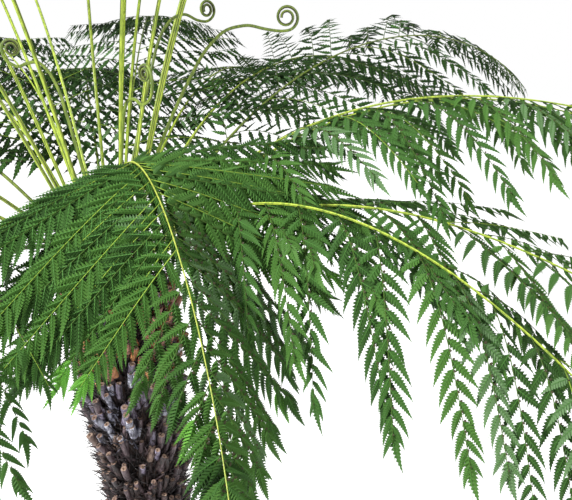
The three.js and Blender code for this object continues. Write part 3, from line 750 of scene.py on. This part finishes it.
def grow_spray(bank, places, directions, across, normals, length, tone, tip_tone, full=1.0):
    """Leaflets and stalk along a curve that is given at its stops."""
    stops = np.linspace(0, 1, len(places))

    def blend(values, t):
        return np.stack([np.interp(t, stops, values[:, axis]) for axis in range(3)], -1)

    spacing, full_length, foot_angle, tip_angle, drop = SETTINGS[bank]
    pairs = max(3, round(length / spacing))
    hands = np.tile([1, -1], pairs)
    turns = np.repeat(np.arange(pairs), 2) + np.where(hands > 0, 0.05, 0.5)
    t = 1 - (1 - (FIRST_LEAFLET + LEAFY_SHARE * turns / pairs)) ** LEAFLET_CROWDING
    t = np.append(t, LAST_LEAFLET)
    hands = np.append(hands, 0)
    place, direction = blend(places, t), unit(blend(directions, t))
    side, normal = unit(blend(across, t)), unit(blend(normals, t))
    splay = FOOT_SPLAY * np.exp(-t * 8)
    angle = foot_angle + (tip_angle - foot_angle) * t + splay + rng.normal(0, ANGLES_VARY, len(t))
    angle = np.radians(angle)
    axis = unit(direction * np.cos(angle)[:, None] + side * (hands * np.sin(angle))[:, None])
    axis[-1] = direction[-1]
    size = full_length * full * math.sqrt(min(1, length / FULL_SPRAY))
    size = max(size, LOOSE_SMALLEST) if bank == "loose" else size
    shape = np.minimum(1, 0.8 + 1.2 * t) * (1 - SHORTENING * t ** 2.6)
    sizes = size * shape * rng.uniform(*LENGTHS_VARY, len(t))
    sizes[-1] = size
    axes = leaflet_axes(axis, normal, sizes, drop)
    young = (t > YOUNG_FROM) & (tip_tone != tone)
    add_leaflets(bank, tone, place[~young], axes[~young], direction[~young])
    add_leaflets(bank, tip_tone, place[young], axes[young], direction[young])
    sided = hands != 0
    if bank != "comb":
        lobe_heap.copies(LOBE_FORM, place[sided], axes[sided])
    midrib_heap.copies(MIDRIB_FORM, place, axes)
    thickness = STALK_SIZE * (1 - STALK_TAPER * stops)
    # Each stalk draws the lit copy, with painted light, or else the dim one, with painted shade.
    lit = rng.random() < PAINTED_LIT_STALKS[0 if bank == "comb" else 1]
    stalk = sweep(places, across, normals, thickness, thickness, TWIG_SECTION)
    twig_heaps["lit" if lit else "dim"].add(*stalk)


print("a full spray has", 2 * round(FULL_SPRAY / SETTINGS["near"][0]) + 1, "leaflets")

# %% How the fronds differ
SHADY = {"deep": 0.50, "dark": 0.34, "mid": 0.10, "grey": 0.06}
MIXED = {"deep": 0.10, "dark": 0.34, "mid": 0.30, "green": 0.16, "grey": 0.10}
SUNLIT = {"dark": 0.22, "mid": 0.38, "green": 0.32, "grey": 0.08}
LOOSE_TONES = {"dark": 0.18, "mid": 0.34, "green": 0.30, "grey": 0.18}
SUNLIT_FRONDS = {0, 1, 2, 4, 5, 13, 14, 15}
SHADY_FRONDS = {3, 6, 7, 8, 9, 10, 11}
# Any other arching frond has the far bank, and an upright one the high bank
FROND_BANKS = {
    0: "comb", 1: "near", 4: "near", 15: "near", 2: "slim", 5: "slim", 3: "peak", 7: "peak", 8: "peak",
}
HAND_STAGGER = 0.4
STEP_VARIES = 0.08
FIRST_SPRAY = 0.8
SWELL = 0.2
SWELLS_OVER = 0.2
SPRAYS_VARY = (0.93, 1.0)
SPRAY_REACH = 0.97
TIP_START = 0.03
TIP_END = 0.035
TIP_SIZE = 0.8
YOUNG_TIP_SHARE = 0.10
NEAR_YOUNG_SHARE = 0.32
NEAR_LEFT_SHORTER = 0.6
NEAR_SHORTER_FROM = 0.3
NEAR_SHORTER_OVER = 0.45
# By hand, 1 or -1: lower down, the near frond's sprays are loose, with large leaflets, and hang
# more. From THINNED_FROM on, only every second or third one is grown.
LOOSE_FROM = {1: 0.28, -1: 0.45}
LOOSE_EVERY = {1: 2, -1: 3}
THINNED_FROM = {1: 0.46, -1: 0.45}
LOOSE_DROOP = 0.22
# How far the near frond's sprays are turned to face outwards: 1 is fully
COMB_FACING = {1: 0.65, -1: 0.6}
LOOSE_FACING = 1.0
# Its sprays are tipped a little, so that the side towards the frond's tip lies uppermost
COMB_TILT = 0.20
print("fronds in full light:", len(SUNLIT_FRONDS))

# %% The curve of a spray
FORWARD_VARIES = 3.5
LIFT_VARIES = 0.06
DROOP_VARIES = 0.05
LEAST_DROOP = 0.05


def drawn_tone(weights):
    return rng.choice(list(weights), p=np.array(list(weights.values())) / sum(weights.values()))


def spray_curve(frond, frame_here, hand, length, part, extra_droop, facing, tilt):
    place, along, side, over = frame_here
    forward = math.radians(frond["forward"] + rng.normal(0, FORWARD_VARIES))
    lift = frond["lift"] + rng.normal(0, LIFT_VARIES)
    first = unit(side * hand * math.sin(forward) + along * math.cos(forward) + over * lift)
    first = unit(first - UP * frond["sag"] * part)
    parts = np.arange(SPRAY_STEPS + 1) / SPRAY_STEPS
    droop = max(LEAST_DROOP, frond["droop"] + extra_droop + rng.normal(0, DROOP_VARIES))
    weight = (droop * (1 - np.exp(-3 * parts)))[:, None]
    directions = unit(first * (1 - weight) - UP * weight)
    places = place + np.concatenate([[np.zeros(3)], np.cumsum(directions[1:] * length / SPRAY_STEPS, 0)])
    across = unit(along - directions * (directions @ along)[:, None])
    normals = hand * np.cross(across, directions)
    azimuth = frond["path"].azimuth
    outward = unit([math.cos(azimuth), math.sin(azimuth), 0.5])
    normals = normals * (1 - facing) + outward * facing - across * tilt
    normals = unit(normals - directions * np.einsum("nc,nc->n", normals, directions)[:, None])
    return places, directions, hand * np.cross(directions, normals), normals


print("stops along a spray:", SPRAY_STEPS + 1)

# %% Grow every frond's sprays
for number, frond in enumerate(fronds):
    near = number == 0
    weights = SUNLIT if number in SUNLIT_FRONDS else SHADY if number in SHADY_FRONDS else MIXED
    span = frond["length"] - TIP_LENGTH - frond["first"]
    pairs = frond["pairs"]
    bank = FROND_BANKS.get(number, "far" if frond["arching"] else "high")
    for hand in (1, -1):
        young_share = NEAR_YOUNG_SHARE if near and hand < 0 else YOUNG_TIP_SHARE
        young_share = 0 if weights is SHADY or bank == "slim" else young_share
        stagger = 0 if hand > 0 else HAND_STAGGER
        for k in range(pairs):
            step = min(pairs - 0.2, k + stagger + rng.uniform(-STEP_VARIES, STEP_VARIES))
            part = max(0, step) / (pairs - 1)
            s = frond["first"] + span * (1 - (1 - max(0, step) / pairs) ** PAIR_CROWDING)
            swelling = FIRST_SPRAY + SWELL * min(1, part / SWELLS_OVER)
            narrowed = 1 - frond["shrink"] * min(1, part) ** frond["narrowing"]
            length = frond["spray"] * swelling * narrowed * rng.uniform(*SPRAYS_VARY)
            if near and hand < 0:
                beyond = min(1, max(0, part - NEAR_SHORTER_FROM) / NEAR_SHORTER_OVER)
                length *= 1 - NEAR_LEFT_SHORTER * beyond
            loose = near and part > LOOSE_FROM[hand]
            if near and part > THINNED_FROM[hand] and k % LOOSE_EVERY[hand]:
                continue
            turned = (0, COMB_FACING[hand], COMB_TILT) if near else (0, 0, 0)
            turned = (LOOSE_DROOP, LOOSE_FACING, COMB_TILT) if loose else turned
            frame_here = [value[0] for value in frond["path"].frame([s])]
            curve = spray_curve(frond, frame_here, hand, length * SPRAY_REACH, min(1, part), *turned)
            tone = drawn_tone(LOOSE_TONES if loose else weights)
            tip_tone = "bright" if rng.random() < young_share else tone
            grow_spray("loose" if loose else bank, *curve, length, tone, tip_tone)
    s = np.linspace(frond["length"] - TIP_LENGTH - TIP_START, frond["length"] - TIP_END, SPRAY_STEPS + 1)
    place, along, side, over = frond["path"].frame(s)
    grow_spray(bank, place, along, side, over, TIP_LENGTH, drawn_tone(weights), "bright", TIP_SIZE)
print("sprays:", sum(len(heap.batches) for heap in twig_heaps.values()))

# %% Join the sprays
for tone, heap in leaf_heaps.items():
    slot = "young_leaf" if tone == "bright" else "leaf"
    heap.pieces(f"leaflets_{tone}", leaf_materials[tone], slot, 0)
lobe_heap.pieces("leaflet_lobes", lobe_material, "leaf")
midrib_heap.pieces("leaflet_midribs", midrib_material, "leaf")
# Stalks with painted light and stalks with painted shade are joined as separate pieces.
for light, heap in twig_heaps.items():
    heap.pieces(f"spray_stalks_{light}", twig_materials[light], "stipe")
print("sprays' finishes:", len(leaf_heaps) + len(twig_heaps) + 2)

# %% [markdown]
# ## Croziers
# A young frond unrolls from a coil. Its stalk is the same grooved tube, on a path whose heading is
# read between knots, and the coil at its end tightens as it turns. The rolled-up sprays show as
# two rows of dark buds along the coil.

# %% Stalks and coils
CROZIER_WIDTH = 0.014
COIL_TURNS = 1.8
COIL_SHRINK = 0.085
CROZIER_TAPER = 0.4
STALK_STOPS = 16
COIL_STOPS = 90
BUDS_IN_A_ROW = 46
BUD_SHRINK = 0.92
# Azimuth, base radius, coil, and the knots: millimetres along the stalk, and the heading there
CROZIERS = [
    (4, 0.026, 0.044, [
        (0, 20), (460, 24), (775, 30), (880, 45), (985, 81), (1040, 104), (1105, 97), (1145, 83)]),
    (40, 0.008, 0.037, [
        (0, 15), (765, 18), (825, 26), (905, 46), (955, 74), (1010, 116), (1060, 96), (1105, 51)]),
    (190, 0.026, 0.032, [
        (0, 7), (600, 11), (680, 24), (725, 42), (770, 100), (800, 116), (830, 60), (890, 6)]),
    (321, 0.026, 0.031, [
        (0, 10), (540, 12), (600, 30), (640, 84), (675, 122), (720, 62), (775, 12), (830, -14)]),
]
bpy.ops.mesh.primitive_ico_sphere_add(subdivisions=1, radius=0.5)
bud = bpy.context.object
BUD_FORM = (points_of(bud), np.array(faces_of(bud)), NO_QUADS)
bpy.data.objects.remove(bud)
crozier_heap, bud_heap = Heap(), Heap()


def crozier_path(azimuth, base_radius, coil, knots):
    knot_places = np.array([place / 1000 for place, _ in knots])
    knot_headings = np.array([heading for _, heading in knots], float)
    stalk = knot_places[-1]
    coil_length = coil * (1 - math.exp(-COIL_SHRINK * 2 * math.pi * COIL_TURNS)) / COIL_SHRINK

    def heading_at(s):
        after = np.clip(np.searchsorted(knot_places, s, side="right"), 1, len(knots) - 1)
        part = np.clip((s - knot_places[after - 1]) / (knot_places[after] - knot_places[after - 1]), 0, 1)
        smooth = part * part * (3 - 2 * part)
        plain = knot_headings[after - 1] + (knot_headings[after] - knot_headings[after - 1]) * smooth
        left = 1 - np.clip(s - stalk, 0, coil_length) * COIL_SHRINK / coil
        return np.where(s >= stalk, knot_headings[-1] + np.degrees(np.log(left) / COIL_SHRINK), plain)

    return StipePath(heading_at, (base_radius, 0.0), stalk + coil_length, 0, azimuth), stalk, coil_length


for azimuth, base_radius, coil, knots in CROZIERS:
    path, stalk, coil_length = crozier_path(azimuth, base_radius, coil, knots)
    stops = np.concatenate([np.linspace(STIPE_FOOT, stalk * 0.6, STALK_STOPS)[:-1],
                            np.linspace(stalk * 0.6, stalk + coil_length - 0.004, COIL_STOPS)])
    place, along, side, over = path.frame(stops)
    size = CROZIER_WIDTH * (1 - CROZIER_TAPER * np.clip(stops / path.length, 0, 1))
    crozier_heap.add(*sweep(place, side, over, size, size * 1.05, STIPE_SECTION))
    beads = np.linspace(stalk + coil_length * 0.10, stalk + coil_length - 0.006, BUDS_IN_A_ROW)
    place, along, side, over = path.frame(beads)
    size = CROZIER_WIDTH * (1 - CROZIER_TAPER * beads / path.length)
    for hand in (1, -1):
        spot = place + side * (hand * size * 0.34)[:, None] - over * (size * -0.30)[:, None]
        axes = np.stack([side * 0.8, along * 0.95, over * 0.75], 1) * (size * BUD_SHRINK)[:, None, None]
        bud_heap.copies(BUD_FORM, spot, axes)

crozier_nodes = [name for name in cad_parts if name.startswith("crozier")]
crozier_stalks = crozier_heap.pieces("crozier_stalks", stipe_olive, "stipe", SMOOTH_DEGREES)
bud_heap.pieces("crozier_buds", plain_material("crozier_bud", (70, 76, 34), 0.6), "stipe")
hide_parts(*crozier_nodes)
print("crozier nodes replaced:", len(crozier_nodes))

# %% [markdown]
# ## Trunk
# The trunk is a core of matted roots, which shows only as dark fibre between the stubs. A sheet is
# wrapped round the trunk's axis, given a relief of ropes and lumps, and closed at both ends. It is
# widest at the ground, where the mantle of roots is cut off flat.

# %% Trunk core
LOWER_CORE_RADIUS = 0.124
UPPER_CORE_RADIUS = 0.152
NARROW_HEIGHT = 0.85
WIDE_HEIGHT = 1.55
MANTLE_FLARE = 0.12
MANTLE_HEIGHT = 0.21
TRUNK_TOP = 2.1
TRUNK_LEAN_POWER = 1.15
HEAD_HEIGHTS = [1.95, 2.035, 2.082, TRUNK_TOP]
HEAD_SHARES = [1, 0.78, 0.42, 0.05]
ROOT_LOBES = 5
ROOT_LOBE_DEPTH = 0.09
ROPE_RELIEF = 0.0065
LUMP_RELIEF = 0.005
CORE_AROUND = 120
CORE_ROWS = 260


def trunk_axis(z):
    lean = GROWING_POINT[0] * (np.clip(z, 0, None) / TRUNK_TOP) ** TRUNK_LEAN_POWER
    return np.stack([lean, np.zeros_like(z), z], -1)


def core_radius(z):
    part = np.clip((z - NARROW_HEIGHT) / (WIDE_HEIGHT - NARROW_HEIGHT), 0, 1)
    taper = LOWER_CORE_RADIUS + (UPPER_CORE_RADIUS - LOWER_CORE_RADIUS) * part * part * (3 - 2 * part)
    head = np.interp(z, HEAD_HEIGHTS, HEAD_SHARES)
    return (taper + MANTLE_FLARE * np.exp(-z / MANTLE_HEIGHT)) * head


def root_lobes(z, turn):
    return 1 + ROOT_LOBE_DEPTH * np.exp(-z / MANTLE_HEIGHT) * np.cos(ROOT_LOBES * turn)


deselect_all()
bpy.ops.mesh.primitive_grid_add(x_subdivisions=CORE_AROUND, y_subdivisions=CORE_ROWS, size=1)
core = bpy.context.object
core.name = "trunk_core"
flat = points_of(core)
turn = (flat[:, 0] + 0.5) * 2 * np.pi
z = (flat[:, 1] + 0.5) * TRUNK_TOP
ropes = np.sin(turn * 23 + 5 * np.sin(z * 7)) * np.sin(turn * 9 + z * 11)
lumps = np.sin(turn * 14 + z * 30) * np.sin(turn * 5 - z * 52)
relief = ROPE_RELIEF * ropes * np.exp(-z / 0.9) + LUMP_RELIEF * lumps
radius = core_radius(z) * root_lobes(z, turn) + relief * np.clip((2.09 - z) / 0.1, 0, 1) - 0.004
core.data.vertices.foreach_set("co", (trunk_axis(z) + ring(turn)[0] * radius[:, None]).ravel())
core.data.update()
bpy.ops.object.mode_set(mode="EDIT")
bpy.ops.mesh.select_all(action="SELECT")
bpy.ops.mesh.remove_doubles(threshold=0.0004)
bpy.ops.mesh.select_all(action="DESELECT")
bpy.ops.mesh.select_non_manifold()
bpy.ops.mesh.edge_face_add()
bpy.ops.mesh.select_all(action="SELECT")
bpy.ops.mesh.normals_make_consistent(inside=False)
bpy.ops.object.mode_set(mode="OBJECT")
bpy.ops.object.shade_smooth()
core.data.materials.append(bark.material)
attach(core, "root")
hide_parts("trunk")
print("core faces:", len(core.data.polygons))

# %% [markdown]
# ## Stubs
# Each frond that dies leaves the foot of its stipe, cut or broken a hand's breadth out. The stubs
# stand in oblique rows, and each comes out of the fibre and turns up. One is modelled from a disc
# that is extruded along this bend, with an inset end and sunk pith. The copies vary in size and
# lean, and in colour by height: orange-brown under the crown, silvery grey, then dark mauve.

# %% One stub
STUB_SIDES = 10
STUB_SMOOTH_DEGREES = 50
STUB_BEND = [(0.16, 0.46), (0.20, 0.34), (0.28, 0.16), (0.36, 0.04)]


def make_stub_template():
    """A stub of length 1 along Z and width 1, in four parts: bark, a foot darkened as painted shade, cut end
    and pith.
    """
    bpy.ops.mesh.primitive_circle_add(vertices=STUB_SIDES, radius=0.5, fill_type="NGON")
    stub = bpy.context.object
    bpy.ops.object.mode_set(mode="EDIT")
    bpy.ops.mesh.select_all(action="SELECT")
    for rise, outward in STUB_BEND:
        bpy.ops.mesh.extrude_region_move(TRANSFORM_OT_translate={"value": (0, outward, rise)})
    bpy.ops.mesh.inset(thickness=0.07, depth=0.012)
    bpy.ops.mesh.inset(thickness=0.24, depth=0)
    bpy.ops.mesh.inset(thickness=0.05, depth=-0.04)
    bpy.ops.object.mode_set(mode="OBJECT")
    points = points_of(stub)
    parts = {"bed": [], "bark": [], "end": [], "pith": []}
    for face in faces_of(stub):
        if max(points[face, 2]) < 0.01:
            continue
        low = min(points[face, 2])
        reach = max(math.hypot(x, y - 1) for x, y, _ in points[face])
        part = "bark" if low < 0.9 or reach > 0.47 else ("end" if reach > 0.17 else "pith")
        # Faces low on the stub go to the dark foot, which is painted shade.
        parts["bed" if low < 0.3 else part].append(face)
    bpy.data.objects.remove(stub)
    points[:, 0] *= 1 - 0.08 * points[:, 2]
    return points, parts


def part_form(points, faces):
    used = sorted({corner for face in faces for corner in face})
    renumbered = {corner: i for i, corner in enumerate(used)}
    triangles, quads = [], []
    for face in faces:
        corners = [renumbered[corner] for corner in face]
        if len(corners) == 4:
            quads.append(corners)
        else:
            triangles += [(corners[0], corners[i], corners[i + 1]) for i in range(1, len(corners) - 1)]
    return (points[used], np.array(triangles, int).reshape(-1, 3), np.array(quads, int).reshape(-1, 4))


deselect_all()
stub_points, stub_parts = make_stub_template()
STUB_FORMS = {part: part_form(stub_points, faces) for part, faces in stub_parts.items()}
print("stub parts:", {part: len(faces) for part, faces in stub_parts.items()})

# %% Deal the stubs out over the trunk
STUBS_AROUND = 24
STUB_ROW_GAP = 0.040
STUB_ROW_TURN = 0.46
STUB_FOOT = 0.30
STUB_TOP = 1.99
MISSING_STUBS = 0.20
SUNK = 0.022
# Heights, and the rise in degrees, the length or the width of the stubs there
STUB_RISE = ([0.3, 1.3, 1.6, 2.0], [76, 75, 73, 71])
STUB_LENGTH = ([0.3, 1.3, 1.55, 2.0], [0.100, 0.112, 0.120, 0.128])
STUB_WIDTH = ([0.3, 1.3, 2.0], [0.023, 0.026, 0.035])
# How often each colour is drawn above a height
STUB_WEIGHTS = {
    1.72: {"orange": 0.5, "salmon": 0.36, "lilac": 0.14},
    1.60: {"orange": 0.34, "salmon": 0.28, "silver": 0.26, "lilac": 0.12},
    1.40: {"silver": 0.50, "lilac": 0.34, "mauve": 0.16},
    1.26: {"lilac": 0.28, "mauve": 0.44, "tan": 0.16, "umber": 0.12},
    0: {"mauve": 0.46, "umber": 0.42, "tan": 0.12},
}
STUB_LENGTHS_VARY = (0.55, 1.20)
STUB_WIDTHS_VARY = (0.80, 1.14)
SPLINTERS = 6
SPLINTER_LENGTHS = (0.05, 0.10)
SPLINTER_WIDTHS = (0.006, 0.013)
EACH = (SPLINTERS, 1)
spike = np.array([(-0.5, -0.3, 0), (0.5, -0.3, 0), (0, 0.55, 0), (0.3, 0.2, 1)])
SPIKE_FORM = (spike, np.array([(0, 1, 3), (1, 2, 3), (2, 0, 3), (0, 2, 1)]), NO_QUADS)
rng = np.random.default_rng(98)
stub_heaps = {tone: Heap() for tone in STUB_TONES}
part_heaps = {part: Heap() for part in part_materials}


def stub_tone(z):
    return drawn_tone(next(weights for height, weights in STUB_WEIGHTS.items() if z > height))


count = 0
for row in range(int((STUB_TOP - STUB_FOOT) / STUB_ROW_GAP)):
    for i in range(STUBS_AROUND):
        turn = (i + row * STUB_ROW_TURN + rng.uniform(-0.14, 0.14)) / STUBS_AROUND * 2 * math.pi
        z = np.array(STUB_FOOT + row * STUB_ROW_GAP + rng.uniform(-0.014, 0.014))
        if rng.random() < MISSING_STUBS:
            continue
        outward, across = ring(np.array(turn))
        rise = math.radians(np.interp(z, *STUB_RISE) + rng.normal(0, 7))
        along = unit(outward * math.cos(rise) + UP * math.sin(rise) + across * rng.normal(0, 0.16))
        over = unit(np.cross(along, across))
        over = over if over @ outward > 0 else -over
        across = np.cross(over, along)
        length = np.interp(z, *STUB_LENGTH) * rng.uniform(*STUB_LENGTHS_VARY)
        width = np.interp(z, *STUB_WIDTH) * rng.uniform(*STUB_WIDTHS_VARY)
        foot = trunk_axis(z) + outward * (core_radius(z) - SUNK + rng.uniform(-0.006, 0.012))
        axes = np.array([[across * width, over * width, along * length]])
        tone = stub_tone(z + rng.normal(0, 0.02))
        stub_heaps[tone].copies(STUB_FORMS["bark"], foot[None], axes)
        for part, heap in part_heaps.items():
            heap.copies(STUB_FORMS[part], foot[None], axes)
        places = foot + over * rng.uniform(0, 0.03, EACH) + across * rng.normal(0, 0.018, EACH)
        points = unit(along + outward * 0.2 + rng.normal(0, 0.28, (SPLINTERS, 3)))
        points = points * rng.uniform(*SPLINTER_LENGTHS, EACH)
        thick = rng.uniform(*SPLINTER_WIDTHS, EACH)
        splinter_tone = tone if rng.random() < 0.5 else "umber"
        splinters = np.stack([across * thick, over * thick, points], 1)
        stub_heaps[splinter_tone].copies(SPIKE_FORM, places, splinters)
        count += 1

for tone, heap in stub_heaps.items():
    heap.pieces(f"stubs_{tone}", stub_materials[tone], "trunk_fibre", STUB_SMOOTH_DEGREES)
for part, heap in part_heaps.items():
    heap.pieces(f"stub_{part}s", part_materials[part], "trunk_fibre", STUB_SMOOTH_DEGREES)
print("stubs:", count)

# %% [markdown]
# ## Bristles, scales and roots
# Dark bristles stand between the stubs and break the trunk's outline. Brown scales clothe the feet
# of the stipes, and roots as thick as a finger run down to the flat cut. Hair particles could make
# the first two, but copies of one spike are lighter.

# %% Bristles and scales
BRISTLE_COUNT = 5200
BRISTLE_HEIGHTS = (0.16, 2.04)
BRISTLE_LENGTHS = (0.07, 0.145)
BRISTLE_WIDTHS = (0.0038, 0.0088)
SCALE_COUNT = 1700
SCALE_LENGTHS = (0.018, 0.04)
SCALE_WIDTH = 0.0026
SCALE_OUT = 0.009


def spikes(heap, feet, directions, lengths, widths):
    across = unit(np.cross(directions, UP + 0.01))
    other = np.cross(directions, across)
    axes = np.stack([across * widths[:, None], other * widths[:, None], directions * lengths[:, None]], 1)
    heap.copies(SPIKE_FORM, feet, axes)


z = rng.uniform(*BRISTLE_HEIGHTS, BRISTLE_COUNT)
turn = rng.uniform(0, 2 * math.pi, BRISTLE_COUNT)
outward, across = ring(turn)
tilt = np.radians(rng.normal(46, 16, BRISTLE_COUNT))[:, None]
lean = across * rng.normal(0, 0.3, (BRISTLE_COUNT, 1))
directions = unit(outward * np.cos(tilt) + UP * np.sin(tilt) + lean)
feet = trunk_axis(z) + outward * (core_radius(z) - 0.006)[:, None]
lengths = rng.uniform(*BRISTLE_LENGTHS, BRISTLE_COUNT)
bristle_heap = Heap()
spikes(bristle_heap, feet, directions, lengths, rng.uniform(*BRISTLE_WIDTHS, BRISTLE_COUNT))
bristle_heap.pieces("bristles", bristle_material, "trunk_fibre")

scale_heap = Heap()
for frond in fronds:
    s = rng.uniform(-0.05, 0.13, SCALE_COUNT // len(fronds))
    place, along, side, over = frond["path"].frame(s)
    around = rng.uniform(0, 2 * math.pi, (len(s), 1))
    outward = side * np.cos(around) + over * np.sin(around)
    directions = unit(outward * 0.55 + along)
    lengths = rng.uniform(*SCALE_LENGTHS, len(s))
    spikes(scale_heap, place + outward * SCALE_OUT, directions, lengths, np.full(len(s), SCALE_WIDTH))
scale_heap.pieces("stipe_scales", scale_material, "trunk_fibre")
foot_look = stipe_material("stipe_foot", (128, 96, 56), (78, 52, 36), (40, 28, 24))
ribs["scaly"].pieces("stipe_feet", foot_look, "stipe", SMOOTH_DEGREES)

# %% Roots
ROOT_COUNT = 110
ROOT_TOPS = (0.22, 0.72)
ROOT_WIDTHS = (0.008, 0.018)
root_heap = Heap()
hexagon = np.array([(math.cos(a) / 2, math.sin(a) / 2) for a in np.arange(6) * math.pi / 3])
for _ in range(ROOT_COUNT):
    top = rng.uniform(*ROOT_TOPS)
    z = np.linspace(top, 0, 16)
    turn = rng.uniform(0, 2 * math.pi) + rng.normal(0, 0.12) * (top - z) / top
    turn = turn + 0.05 * np.sin(z * 19 + rng.uniform(0, 6))
    sunk = np.interp(z, [0, top - 0.08, top], [0.003, 0.001, 0.016])
    radius = core_radius(z) * root_lobes(z, turn) - sunk + 0.004 * np.sin(z * 31 + rng.uniform(0, 6))
    outward = ring(turn)[0]
    places = trunk_axis(z) + outward * radius[:, None]
    along = unit(np.gradient(places, axis=0))
    side = unit(np.cross(along, outward))
    size = rng.uniform(*ROOT_WIDTHS) * np.interp(z, [0, top], [1.15, 0.6])
    points, caps, quads = sweep(places, side, np.cross(side, along), size, size, hexagon)
    points[:, 2] = np.maximum(points[:, 2], 0)
    root_heap.add(points, caps, quads)
root_heap.pieces("roots", root_look, "trunk_fibre", 60)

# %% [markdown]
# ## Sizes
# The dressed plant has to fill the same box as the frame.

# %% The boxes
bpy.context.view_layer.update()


def plain(box):
    return [[round(float(value), 4) for value in corner] for corner in box]
